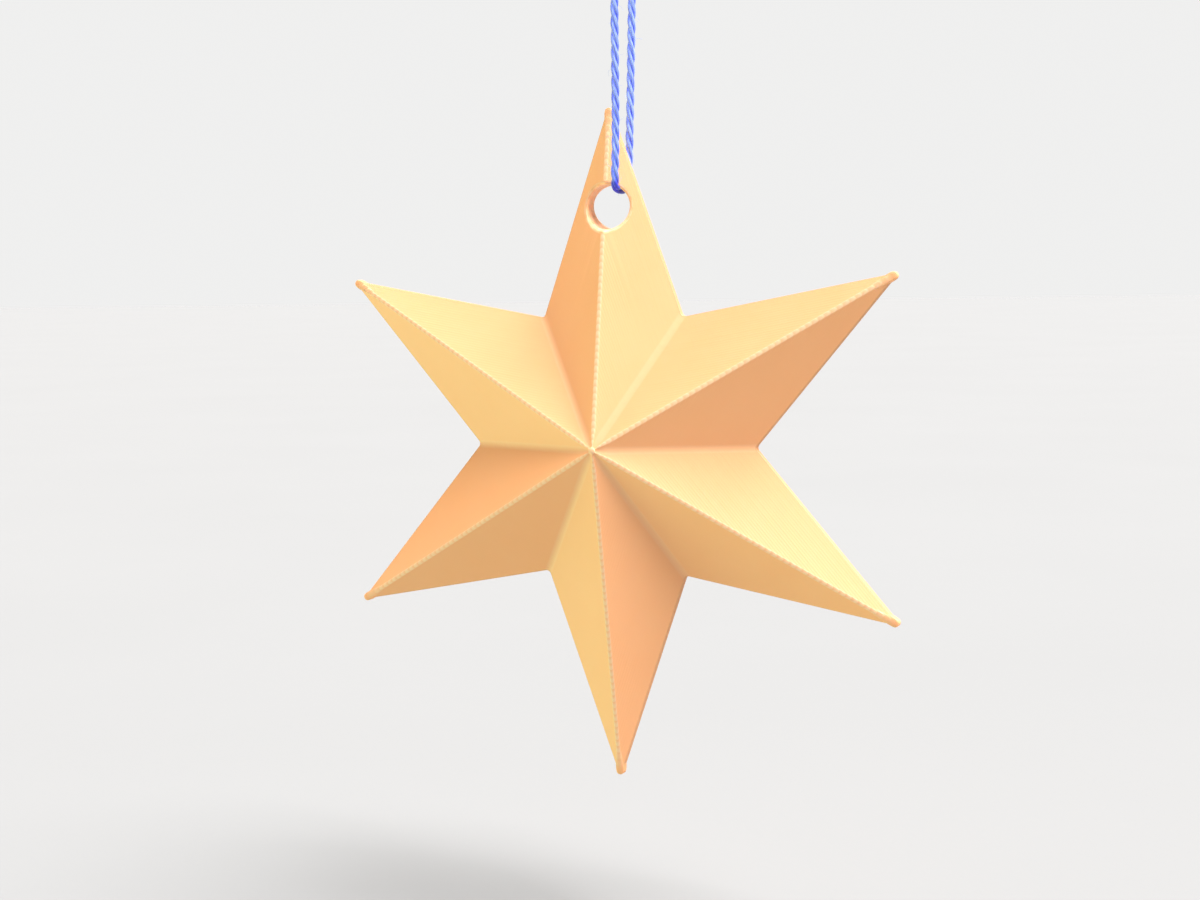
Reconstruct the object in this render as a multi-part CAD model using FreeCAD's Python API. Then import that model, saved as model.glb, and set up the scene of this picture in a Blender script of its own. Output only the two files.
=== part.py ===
import FreeCAD, Part
import math
import os

# A hanging star ornament: one solid plastic star with six points, ridged on
# both faces, on a closed loop of twine that runs through a hole in its top arm.
# The star stands upright in the XZ plane and its front faces -Y.
# The origin is the inside top of the loop, where the ornament hangs.
# All sizes are millimetres.

# Star
point_count = 6
tip_radius = 58.0        # centre to the sharp corner that the two edges of a tip aim at
notch_radius = 25.5      # centre to the inner corner between two arms
ridge_height = 10.0      # rim plane to the middle of a face
rim_width = 1.2          # upright band round the outline
tip_round = 0.35         # rounding of the tips, and so of the ridges that run from them
notch_round = 0.8        # softness of the inner corners and of the valleys that run from them
tip_bead_radius = 0.75   # the arms end in a blunt bead two printed lines wide
tip_bead_inset = 1.0     # from the sharp corner to the bead's centre
crown_room = 1.27        # edge length at the crown, against what its roundings take up
button_radius = 0.7      # small flat button at the middle of each face
button_ledge = 0.45      # from the button to the notches where the star ends under it

# Hole for the twine
hole_radius = 3.85
tip_to_hole = 17.1       # from the sharp tip of the top arm down to the hole's centre

# Twine
twine_radius = 0.7
seat_gap = 0.15          # from the twine's skin to the star
seat_angle = 37.0        # degrees that the twine sits round from the hole's top
lean = 0.0265            # the strands lean this much to the right for each unit up
spread = 0.036           # each strand leaves the mid-plane this much for each unit up
bend_run = 1.3           # run between the two half turns at the hole's edge, in twine radii
bend_share = 0.45        # share of the shorter run that a bend takes up

# Knot on the back strand, and the loop's top above it
tip_to_knot = 26.0       # from the sharp tip of the top arm up to the knot's middle
knot_to_top = 9.7        # from the knot's upper end to the loop's top
knot_length = 4.0        # the knot's half sizes, in twine radii
knot_width = 3.7
knot_depth = 2.4
pole_share = 1.15        # the knot's round form runs past its flat ends by this factor
tail_length = 7.0
tail_splay = 60.0        # degrees between a tail and its strand

top_arm_angle = 90.0
half_bend = math.radians(45)
rim_half = rim_width / 2
crown = rim_half + ridge_height
hole_height = tip_radius - tip_to_hole
knot_half_length = knot_length * twine_radius
knot_height = tip_radius + tip_to_knot
loop_height = knot_height + knot_half_length + knot_to_top


def vec(x, y, z):
    """A point or direction."""
    return FreeCAD.Vector(x, y, z)


def corner_arc(before, corner, after, radius):
    """Start, middle and end of the arc that rounds a corner of the outline."""
    back = (before - corner).normalize()
    forth = (after - corner).normalize()
    half_angle = back.getAngle(forth) / 2
    reach = radius / math.tan(half_angle)
    bisector = (back + forth).normalize()
    centre = corner + bisector * (radius / math.sin(half_angle))
    return corner + back * reach, centre - bisector * radius, corner + forth * reach


def outline_corner(index, share, depth):
    """A sharp corner of the outline: tips are even, notches odd, from the top clockwise."""
    angle = math.radians(top_arm_angle - index * 180.0 / point_count)
    reach = share * (notch_radius if index % 2 else tip_radius)
    return vec(reach * math.cos(angle), depth, reach * math.sin(angle))


def star_section(share, depth, roundness):
    """The rounded star outline, shrunk to a share of its size, at a depth: one arc a corner."""
    corners = [outline_corner(i, share, depth) for i in range(2 * point_count)]
    arcs = []
    for i, corner in enumerate(corners):
        radius = roundness * (notch_round if i % 2 else tip_round)
        after = corners[(i + 1) % len(corners)]
        arcs.append(corner_arc(corners[i - 1], corner, after, radius))
    return arcs


def skin_between(lower, upper):
    """Faces between two sections: a flat facet for each edge, a ruled strip for each rounding."""
    faces = []
    for i in range(len(lower)):
        after = (i + 1) % len(lower)
        facet = [lower[i][2], lower[after][0], upper[after][0], upper[i][2], lower[i][2]]
        faces.append(Part.Face(Part.makePolygon(facet)))
        strip = [Part.Arc(*section[i]).toShape() for section in (lower, upper)]
        faces.append(Part.makeRuledSurface(*strip))
    return faces


def section_face(section):
    """The flat face inside one section."""
    edges = []
    for i, arc in enumerate(section):
        edges.append(Part.Arc(*arc).toShape())
        after = section[(i + 1) % len(section)]
        edges.append(Part.LineSegment(arc[2], after[0]).toShape())
    return Part.Face(Part.Wire(edges))


def crown_share():
    """Share of the outline below which the roundings have to shrink with it."""
    notch_before, tip, notch, tip_after = (outline_corner(i, 1, 0) for i in (-1, 0, 1, 2))
    tip_arc = corner_arc(notch_before, tip, notch, tip_round)
    notch_arc = corner_arc(tip, notch, tip_after, notch_round)
    taken = (tip_arc[2] - tip).Length + (notch_arc[0] - notch).Length
    return crown_room * taken / (notch - tip).Length


def face_depth(share):
    """Distance from the mid-plane to the level where the outline has shrunk to a share."""
    return rim_half + ridge_height * (1 - share)


def through_rod(middle, radius, half_length):
    """A round rod across the star's mid-plane."""
    start = middle - vec(0, half_length, 0)
    return Part.makeCylinder(radius, 2 * half_length, start, vec(0, 1, 0))


def tip_beads():
    """The blunt round end of each arm, as high as the ridge is there."""
    share = 1 - tip_bead_inset / tip_radius
    centres = [outline_corner(2 * i, share, 0) for i in range(point_count)]
    return [through_rod(centre, tip_bead_radius, face_depth(share)) for centre in centres]


def star_body():
    """The star about its own centre: sections from the back crown to the front one."""
    crown_level = crown_share()
    neck_level = (button_radius + button_ledge) / notch_radius
    levels = [
        (neck_level, face_depth(neck_level), neck_level / crown_level),
        (crown_level, face_depth(crown_level), 1.0),
        (1.0, rim_half, 1.0),
    ]
    mirrored = [(share, -depth, roundness) for share, depth, roundness in reversed(levels)]
    sections = [star_section(*level) for level in levels + mirrored]
    faces = [section_face(sections[0]), section_face(sections[-1])]
    for lower, upper in zip(sections, sections[1:]):
        faces += skin_between(lower, upper)
    shell = Part.Shell(faces)
    shell.sewShape()
    body = Part.Solid(shell)
    if body.Volume < 0:
        body.reverse()
    button = through_rod(vec(0, 0, 0), button_radius, crown)
    hole = through_rod(vec(0, 0, hole_height), hole_radius, 2 * crown)
    return body.fuse([button] + tip_beads()).cut(hole).removeSplitter()


def facet_slope():
    """How much an arm's facet falls for each unit away from its ridge."""
    step = math.radians(180.0 / point_count)
    fall = 1 - notch_radius * math.cos(step) / tip_radius
    return ridge_height * fall / (notch_radius * math.sin(step))


def seat_reach():
    """Distance from the hole's centre line to the twine's."""
    return hole_radius - twine_radius - seat_gap


def seat_side():
    """How far the twine lies to the right of the top arm's ridge."""
    return seat_reach() * math.sin(math.radians(seat_angle))


def seat_height():
    """Height of the twine's centre line where it passes through the hole."""
    return hole_height + seat_reach() * math.cos(math.radians(seat_angle))


def edge_height():
    """Height at which a strand comes clear of the hole's upper edge."""
    return seat_height() + bend_run * twine_radius * math.sin(half_bend)


def strand_depth():
    """Distance from the mid-plane to a strand where it passes the hole's upper edge."""
    along = ridge_height / tip_radius
    across = facet_slope()
    lift = (twine_radius + seat_gap) * math.sqrt(1 + along ** 2 + across ** 2)
    return crown - along * edge_height() - across * seat_side() + lift


def strand_point(height, side):
    """A point on the front strand (side -1) or the back one (side 1)."""
    up = height - edge_height()
    return vec(seat_side() + lean * up, side * (strand_depth() + spread * up), height)


def twine_route():
    """The loop's corners from the knot down the back, through the hole, up the front and over."""
    run_depth = strand_depth() - bend_run * twine_radius * math.cos(half_bend)
    return [
        strand_point(knot_height - knot_half_length, 1),
        strand_point(edge_height(), 1),
        vec(seat_side(), run_depth, seat_height()),
        vec(seat_side(), -run_depth, seat_height()),
        strand_point(edge_height(), -1),
        strand_point(loop_height, -1),
        strand_point(loop_height, 1),
        strand_point(knot_height + knot_half_length, 1),
    ]


def rounded_path(points):
    """Straight runs joined by tangent arcs, and the radius of each arc."""
    edges = []
    radii = []
    start = points[0]
    for before, corner, after in zip(points, points[1:], points[2:]):
        back = before - corner
        forth = after - corner
        half_turn = (math.pi - back.getAngle(forth)) / 2
        radius = bend_share * min(back.Length, forth.Length) / math.tan(half_turn)
        arc = corner_arc(before, corner, after, radius)
        edges.append(Part.LineSegment(start, arc[0]).toShape())
        edges.append(Part.Arc(*arc).toShape())
        radii.append(radius)
        start = arc[2]
    edges.append(Part.LineSegment(start, points[-1]).toShape())
    return Part.Wire(edges), radii


def round_tube(path, radius):
    """A round tube along a path of lines and arcs."""
    first = path.OrderedEdges[0]
    direction = first.tangentAt(first.FirstParameter)
    ring = Part.Wire(Part.makeCircle(radius, first.firstVertex().Point, direction))
    return path.makePipeShell([ring], True, True)


def knot_tail(middle, along, outward):
    """A short free end of the twine that leaves the knot beside its strand and splays out."""
    turn = math.radians(tail_splay)
    direction = along * math.cos(turn) + outward * math.sin(turn)
    return Part.makeCylinder(twine_radius, knot_half_length + tail_length, middle, direction)


def twine_knot():
    """A small round knot with flat ends that the twine meets, and its two free ends."""
    lower = strand_point(knot_height - knot_half_length, 1)
    upper = strand_point(knot_height + knot_half_length, 1)
    middle = (lower + upper) * 0.5
    along = (upper - lower).normalize()
    stretch = FreeCAD.Matrix()
    stretch.scale(*(twine_radius * size for size in (knot_width, knot_depth, knot_length * pole_share)))
    lump = Part.makeSphere(1.0).transformGeometry(stretch)
    lump.Placement = FreeCAD.Placement(middle, FreeCAD.Rotation(vec(0, 0, 1), along))
    slab = Part.makeCylinder(2 * knot_width * twine_radius, (upper - lower).Length, lower, along)
    outward = vec(1, 0, 0)
    tails = [knot_tail(middle, along, outward), knot_tail(middle, along * -1, outward * -1)]
    return lump.common(slab).fuse(tails).removeSplitter()


def hang_point():
    """Inside top of the loop, measured from the star's centre."""
    left = strand_point(loop_height, 1)
    return vec(left.x, 0, left.z - twine_radius)


def write_step(name, shape):
    """Move a piece into the row frame and write it."""
    shape.translate(vec(0, 0, 0) - hang_point())
    shape.exportStep(f"parts/{name}.step")
    print(f"{name}: {len(shape.Solids)} solid, {shape.Volume:.2f} mm3, valid {shape.isValid()}")


def main():
    """Build and write the three pieces."""
    os.makedirs("parts", exist_ok=True)
    path, radii = rounded_path(twine_route())
    twine = round_tube(path, twine_radius)
    section = math.pi * twine_radius ** 2
    print("bend radii", ", ".join(f"{radius:.2f}" for radius in radii))
    print(f"twine length {path.Length:.2f}, volume by length {section * path.Length:.2f}")
    write_step("star", star_body())
    write_step("hanging_twine", twine)
    write_step("twine_knot", twine_knot())


main()
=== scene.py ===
"""Looks of a hanging star ornament: a printed plastic star on a closed loop of plied twine.

The row frame is in metres: the star stands in the XZ plane and faces -Y, and the origin is
the inside top of the twine loop.
"""
import logging
import math
from dataclasses import dataclass, field
from enum import Enum

import bpy
from mathutils import Matrix, Vector


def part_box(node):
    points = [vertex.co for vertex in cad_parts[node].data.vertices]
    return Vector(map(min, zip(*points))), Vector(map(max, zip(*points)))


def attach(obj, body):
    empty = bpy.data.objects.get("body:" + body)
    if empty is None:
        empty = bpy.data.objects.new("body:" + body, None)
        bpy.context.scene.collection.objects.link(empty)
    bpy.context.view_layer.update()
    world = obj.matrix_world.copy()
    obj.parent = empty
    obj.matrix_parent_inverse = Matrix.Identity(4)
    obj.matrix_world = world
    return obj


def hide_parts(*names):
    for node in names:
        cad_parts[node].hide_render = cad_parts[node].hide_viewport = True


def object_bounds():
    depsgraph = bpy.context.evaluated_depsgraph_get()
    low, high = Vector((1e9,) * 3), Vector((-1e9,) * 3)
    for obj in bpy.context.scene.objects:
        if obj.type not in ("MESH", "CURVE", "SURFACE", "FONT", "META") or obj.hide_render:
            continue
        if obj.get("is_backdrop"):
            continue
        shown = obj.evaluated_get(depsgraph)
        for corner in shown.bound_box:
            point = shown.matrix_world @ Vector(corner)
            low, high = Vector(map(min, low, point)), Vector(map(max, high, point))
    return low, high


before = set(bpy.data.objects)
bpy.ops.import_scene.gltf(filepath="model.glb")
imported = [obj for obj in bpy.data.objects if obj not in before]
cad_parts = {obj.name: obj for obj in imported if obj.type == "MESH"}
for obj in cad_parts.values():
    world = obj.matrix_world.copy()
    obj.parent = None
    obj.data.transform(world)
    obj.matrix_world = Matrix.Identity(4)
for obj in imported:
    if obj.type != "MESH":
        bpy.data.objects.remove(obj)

LOG = logging.getLogger("hanging_star")
MM = 0.001
WELD = 0.0005 * MM
ROUTE_STEPS = 24
BODY = "root"

Colour = tuple[float, float, float]
Place = tuple[float, float, float]
Value = object
SOCKET_KINDS = {int: "NodeSocketInt", float: "NodeSocketFloat", tuple: "NodeSocketVector"}


def add_object(name: str, data: bpy.types.ID) -> bpy.types.Object:
    """Make an object that holds the data and put it in the scene.

    Args:
        name: The object's name.
        data: Its mesh, curve, camera or light.

    Returns:
        The object.
    """
    made = bpy.data.objects.new(name, data)
    bpy.context.scene.collection.objects.link(made)
    return made


class Twist(Enum):
    """Which way the plies climb round the twine, as the middle stroke of the letter runs."""

    S = -1.0
    Z = 1.0


class Corner(Enum):
    """The two kinds of corner in the star's outline."""

    TIP = "tip"
    NOTCH = "notch"


class NodeTree:
    """A node tree under construction, with short calls for its nodes and links."""

    def __init__(self, tree: bpy.types.NodeTree) -> None:
        """Keep the tree that is built."""
        self.tree = tree

    def add(self, kind: str, *values: Value, **settings: Value) -> bpy.types.Node:
        """Add a node, set its properties and feed its shown inputs in order.

        Args:
            kind: The node's type name.
            values: For each shown input, a constant, an output socket, or None to leave it.
            settings: Properties of the node.

        Returns:
            The new node.
        """
        node = self.tree.nodes.new(kind)
        for name, setting in settings.items():
            setattr(node, name, setting)
        shown = [socket for socket in node.inputs if socket.enabled]
        for socket, value in zip(shown, values):
            self.feed(socket, value)
        return node

    def feed(self, socket: bpy.types.NodeSocket, value: Value) -> None:
        """Link an output to an input, or set the input's constant; None leaves it.

        Args:
            socket: The input.
            value: An output socket, a constant, or None.
        """
        if isinstance(value, bpy.types.NodeSocket):
            self.tree.links.new(value, socket)
        elif value is not None:
            socket.default_value = value

    def feed_all(self, node: bpy.types.Node, values: dict[str | int, Value]) -> bpy.types.Node:
        """Feed several inputs of a node, by name or number, and return the node.

        Args:
            node: The node.
            values: What each input gets, as `feed` takes it.

        Returns:
            The same node.
        """
        for name, value in values.items():
            self.feed(node.inputs[name], value)
        return node

    def out(self, kind: str, *values: Value, **settings: Value) -> bpy.types.NodeSocket:
        """Add a node as `add` does and return its first shown output."""
        node = self.add(kind, *values, **settings)
        return next(socket for socket in node.outputs if socket.enabled)

    def math(self, operation: str, *values: Value) -> bpy.types.NodeSocket:
        """Add a Math node and return its value."""
        return self.out("ShaderNodeMath", *values, operation=operation)

    def vector(self, operation: str, *values: Value) -> bpy.types.NodeSocket:
        """Add a Vector Math node and return its first shown output."""
        return self.out("ShaderNodeVectorMath", *values, operation=operation)

    def scaled(self, vector: Value, factor: Value) -> bpy.types.NodeSocket:
        """Scale a vector by a number."""
        node = self.add("ShaderNodeVectorMath", vector, operation="SCALE")
        return self.feed_all(node, {"Scale": factor}).outputs[0]

    def mix_colour(self, share: Value, first: Value, second: Value) -> bpy.types.NodeSocket:
        """Mix two colours by a share.

        Args:
            share: How much of the second colour shows.
            first: A colour or a socket.
            second: A colour or a socket.

        Returns:
            The mixed colour.
        """
        node = self.tree.nodes.new("ShaderNodeMix")
        node.data_type = "RGBA"
        return self.feed_all(node, {0: share, 6: first, 7: second}).outputs[2]

    def remap(
        self, value: Value, low: float, high: float, to_low: float = 0.0, to_high: float = 1.0
    ) -> bpy.types.NodeSocket:
        """Map a value's range to another, clamped, with a smooth step.

        Args:
            value: The value.
            low: Where the range starts.
            high: Where the range ends.
            to_low: What the start becomes.
            to_high: What the end becomes.

        Returns:
            The mapped value.
        """
        return self.out(
            "ShaderNodeMapRange", value, low, high, to_low, to_high, interpolation_type="SMOOTHSTEP"
        )

    def named(self, name: str, kind: str = "FLOAT") -> bpy.types.NodeSocket:
        """Read a named attribute in a geometry tree."""
        return self.out("GeometryNodeInputNamedAttribute", name, data_type=kind)

    def store(
        self, geometry: Value, name: str, value: Value, kind: str = "FLOAT"
    ) -> bpy.types.NodeSocket:
        """Store a point attribute on a geometry and return the geometry.

        Args:
            geometry: The geometry.
            name: The attribute's name.
            value: What each point gets.
            kind: The attribute's data type.

        Returns:
            The geometry that carries the attribute.
        """
        return self.out(
            "GeometryNodeStoreNamedAttribute", geometry, None, name, value,
            data_type=kind, domain="POINT",
        )

    def random(
        self, low: float, high: float, seed: Value, number: Value = None
    ) -> bpy.types.NodeSocket:
        """Draw a random number.

        Args:
            low: The least that it can be.
            high: The most that it can be.
            seed: The seed of the draw.
            number: What each draw is numbered by, or None for the point's own number.

        Returns:
            The drawn number.
        """
        node = self.add("FunctionNodeRandomValue", data_type="FLOAT")
        return self.feed_all(node, {2: low, 3: high, "ID": number, "Seed": seed}).outputs[1]


class GrownMesh:
    """Runs a geometry tree on a base mesh and gives back the plain mesh that it makes."""

    def __init__(self, name: str, base: bpy.types.Mesh, sizes: dict[str, Value]) -> None:
        """Make the base object and the tree's interface.

        Args:
            name: The name of the tree and of the finished piece.
            base: The mesh that enters the tree.
            sizes: The tree's named inputs and what each of them gets.
        """
        self.name = name
        self.sizes = sizes
        self.host = add_object(name + "_base", base)
        tree = bpy.data.node_groups.new(name, "GeometryNodeTree")
        tree.interface.new_socket("Geometry", in_out="INPUT", socket_type="NodeSocketGeometry")
        for label, value in sizes.items():
            kind = SOCKET_KINDS[type(value)]
            tree.interface.new_socket(label, in_out="INPUT", socket_type=kind)
        tree.interface.new_socket("Geometry", in_out="OUTPUT", socket_type="NodeSocketGeometry")
        self.nodes = NodeTree(tree)
        self.source = self.nodes.add("NodeGroupInput")

    def input(self, name: str) -> bpy.types.NodeSocket:
        """Return the output of the group input that carries a named size."""
        return self.source.outputs[name]

    def finish(
        self, geometry: bpy.types.NodeSocket, material: bpy.types.Material
    ) -> bpy.types.Object:
        """End the tree, evaluate it and return the finished piece at the origin.

        Args:
            geometry: The last geometry socket.
            material: The material of the whole piece.

        Returns:
            An object with a plain mesh and no modifier.
        """
        real = self.nodes.out("GeometryNodeRealizeInstances", geometry)
        dressed = self.nodes.out("GeometryNodeSetMaterial", real, None, material)
        self.nodes.add("NodeGroupOutput", dressed)
        modifier = self.host.modifiers.new(self.name, "NODES")
        modifier.node_group = self.nodes.tree
        items = self.nodes.tree.interface.items_tree
        sockets = {item.name: item.identifier for item in items if item.in_out == "INPUT"}
        for label, value in self.sizes.items():
            modifier[sockets[label]] = value
        graph = bpy.context.evaluated_depsgraph_get()
        mesh = bpy.data.meshes.new_from_object(self.host.evaluated_get(graph), depsgraph=graph)
        self.host.modifiers.remove(modifier)
        bpy.data.objects.remove(self.host)
        mesh.name = self.name
        return add_object(self.name, mesh)


class SharedEffects:
    """The shader node groups that several finishes use, each built once."""

    def __init__(self) -> None:
        """Build the groups."""
        self.mottle = self.build_mottle()
        self.grain = self.build_grain()

    @staticmethod
    def new_group(
        name: str, inputs: list[tuple[str, str, Value]], outputs: list[tuple[str, str]]
    ) -> tuple[NodeTree, bpy.types.Node]:
        """Make an empty shader group.

        Args:
            name: The group's name.
            inputs: Name, socket type and default of each input.
            outputs: Name and socket type of each output.

        Returns:
            The tree under construction and its group input node.
        """
        tree = bpy.data.node_groups.new(name, "ShaderNodeTree")
        for label, kind, default in inputs:
            socket = tree.interface.new_socket(label, in_out="INPUT", socket_type=kind)
            if default is not None:
                socket.default_value = default
        for label, kind in outputs:
            tree.interface.new_socket(label, in_out="OUTPUT", socket_type=kind)
        nodes = NodeTree(tree)
        return nodes, nodes.add("NodeGroupInput")

    def build_mottle(self) -> bpy.types.NodeTree:
        """Cloudy change between two colours, as in moulded, printed or dyed stuff.

        Returns:
            The group.
        """
        nodes, source = self.new_group(
            "Colour Mottle",
            [
                ("Vector", "NodeSocketVector", None),
                ("Scale", "NodeSocketFloat", 60.0),
                ("First", "NodeSocketColor", None),
                ("Second", "NodeSocketColor", None),
                ("Contrast", "NodeSocketFloat", 1.0),
            ],
            [("Color", "NodeSocketColor"), ("Mask", "NodeSocketFloat")],
        )
        given = source.outputs
        cloud = nodes.out(
            "ShaderNodeTexNoise", given["Vector"], given["Scale"], 4.0, 0.55, noise_dimensions="3D"
        )
        centred = nodes.math("SUBTRACT", cloud, 0.5)
        spread = nodes.math("MULTIPLY_ADD", centred, given["Contrast"], 0.5)
        mask = nodes.out("ShaderNodeClamp", spread, 0.0, 1.0)
        colour = nodes.mix_colour(mask, given["First"], given["Second"])
        nodes.add("NodeGroupOutput", colour, mask)
        return nodes.tree

    def build_grain(self) -> bpy.types.NodeTree:
        """Fine grain as a height and as a roughness around a middle value.

        Returns:
            The group.
        """
        nodes, source = self.new_group(
            "Fine Grain",
            [
                ("Vector", "NodeSocketVector", None),
                ("Scale", "NodeSocketFloat", 4000.0),
                ("Roughness", "NodeSocketFloat", 0.5),
                ("Roughness Spread", "NodeSocketFloat", 0.1),
            ],
            [("Height", "NodeSocketFloat"), ("Roughness", "NodeSocketFloat")],
        )
        given = source.outputs
        grain = nodes.out(
            "ShaderNodeTexNoise", given["Vector"], given["Scale"], 3.0, 0.6, noise_dimensions="3D"
        )
        centred = nodes.math("SUBTRACT", grain, 0.5)
        roughness = nodes.math("MULTIPLY_ADD", centred, given["Roughness Spread"], given["Roughness"])
        nodes.add("NodeGroupOutput", grain, roughness)
        return nodes.tree


def rgba(colour: Colour) -> tuple[float, float, float, float]:
    """Add a full alpha to a colour."""
    return (*colour, 1.0)


def empty_material(name: str) -> tuple[bpy.types.Material, NodeTree, bpy.types.Node]:
    """Make a material that holds only a Principled shader and its output.

    Args:
        name: The material's name.

    Returns:
        The material, its tree and the shader node.
    """
    material = bpy.data.materials.new(name)
    material.use_nodes = True
    tree = material.node_tree
    tree.nodes.clear()
    nodes = NodeTree(tree)
    shader = nodes.add("ShaderNodeBsdfPrincipled")
    nodes.add("ShaderNodeOutputMaterial", shader.outputs["BSDF"])
    return material, nodes, shader


def place_group(nodes: NodeTree, group: bpy.types.NodeTree, **values: Value) -> bpy.types.Node:
    """Place a shared group in a material.

    Args:
        nodes: The material's tree.
        group: The shared group.
        values: Its inputs by name, with underscores for spaces.

    Returns:
        The group node.
    """
    node = nodes.add("ShaderNodeGroup", node_tree=group)
    return nodes.feed_all(node, {name.replace("_", " "): value for name, value in values.items()})


def carried(nodes: NodeTree, name: str, output: str = "Fac") -> bpy.types.NodeSocket:
    """Read an attribute that a piece's mesh carries."""
    node = nodes.add("ShaderNodeAttribute", attribute_name=name, attribute_type="GEOMETRY")
    return node.outputs[output]


def add_relief(
    nodes: NodeTree, shader: bpy.types.Node, relief: Value, strength: float, height: float
) -> None:
    """Give a material a relief that is too fine for the mesh.

    Args:
        nodes: The material's tree.
        shader: The material's shader.
        relief: The relief, from 0 to 1.
        strength: How much of the relief shows.
        height: The relief's full height.
    """
    bump = nodes.add("ShaderNodeBump")
    nodes.feed_all(bump, {"Strength": strength, "Distance": height, "Height": relief})
    nodes.feed(shader.inputs["Normal"], bump.outputs["Normal"])


@dataclass(frozen=True)
class PrintedPlastic:
    """Matte peach plastic in fine lines with a few specks; painted highlights on ridges and valleys,
    painted shade in grooves and rim.
    """

    base: Colour = (0.975, 0.480, 0.212)
    warm: Colour = (0.960, 0.450, 0.188)
    # The painted highlight tone of the valleys, the ridge beads and the crown blobs.
    pale: Colour = (1.000, 0.665, 0.385)
    # Painted shade tone of the grooves between the ridge beads.
    groove_shade_tone: Colour = (0.950, 0.400, 0.150)
    # Painted shade tone that darkens the rim band against the key light.
    edge: Colour = (0.740, 0.360, 0.160)
    speck: Colour = (0.300, 0.120, 0.050)
    # How much painted highlight the ridge beads and valleys get, and how much painted shade the ridge
    # grooves and the rim band get.
    crest_highlight_share: float = 0.8
    groove_shade_share: float = 0.5
    valley_highlight_share: float = 0.2
    rim_shade_share: float = 0.9
    cloud_scale: float = 70.0
    cloud_contrast: float = 1.6
    speck_scale: float = 130.0
    speck_size: float = 0.018
    speck_core: float = 0.4
    clear_share: float = 0.93
    grain_scale: float = 5200.0
    grain_strength: float = 0.5
    grain_height: float = 0.02 * MM
    roughness: float = 0.52
    roughness_spread: float = 0.18
    skin_scatter: float = 0.12
    scatter_depth: float = 0.7 * MM
    scatter_reach: Place = (1.0, 0.45, 0.18)
    refraction: float = 1.46

    def material(self, effects: SharedEffects) -> bpy.types.Material:
        """Build the plastic's material.

        Args:
            effects: The shared shader groups.

        Returns:
            The material.
        """
        material, nodes, shader = empty_material("printed_plastic")
        place = nodes.add("ShaderNodeTexCoord").outputs["Object"]
        cloud = place_group(
            nodes, effects.mottle, Vector=place, Scale=self.cloud_scale,
            First=rgba(self.warm), Second=rgba(self.base), Contrast=self.cloud_contrast,
        )
        nose = carried(nodes, "ridge")
        tones = (
            # Painted highlight on the valleys and the ridge beads, painted shade in the ridge grooves
            # and on the rim band.
            (carried(nodes, "valley"), self.valley_highlight_share, self.pale),
            (nose, self.crest_highlight_share, self.pale),
            (nodes.math("MULTIPLY", nose, carried(nodes, "groove")), self.groove_shade_share, self.groove_shade_tone),
            (carried(nodes, "rim"), self.rim_shade_share, self.edge),
        )
        colour = cloud.outputs["Color"]
        for mask, share, tone in tones:
            colour = nodes.mix_colour(nodes.math("MULTIPLY", mask, share), colour, rgba(tone))
        cells = nodes.add("ShaderNodeTexVoronoi", place, self.speck_scale, feature="F1")
        core = self.speck_core * self.speck_size
        small = nodes.remap(cells.outputs["Distance"], self.speck_size, core)
        lot = nodes.out("ShaderNodeSeparateColor", cells.outputs["Color"])
        rare = nodes.math("GREATER_THAN", lot, self.clear_share)
        colour = nodes.mix_colour(nodes.math("MULTIPLY", small, rare), colour, rgba(self.speck))
        grain = place_group(
            nodes, effects.grain, Vector=place, Scale=self.grain_scale,
            Roughness=self.roughness, Roughness_Spread=self.roughness_spread,
        )
        nodes.feed_all(shader, {
            "Base Color": colour,
            "Roughness": grain.outputs["Roughness"],
            "Subsurface Weight": self.skin_scatter,
            "Subsurface Radius": self.scatter_reach,
            "Subsurface Scale": self.scatter_depth,
            "IOR": self.refraction,
        })
        add_relief(nodes, shader, grain.outputs["Height"], self.grain_strength, self.grain_height)
        return material


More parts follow.
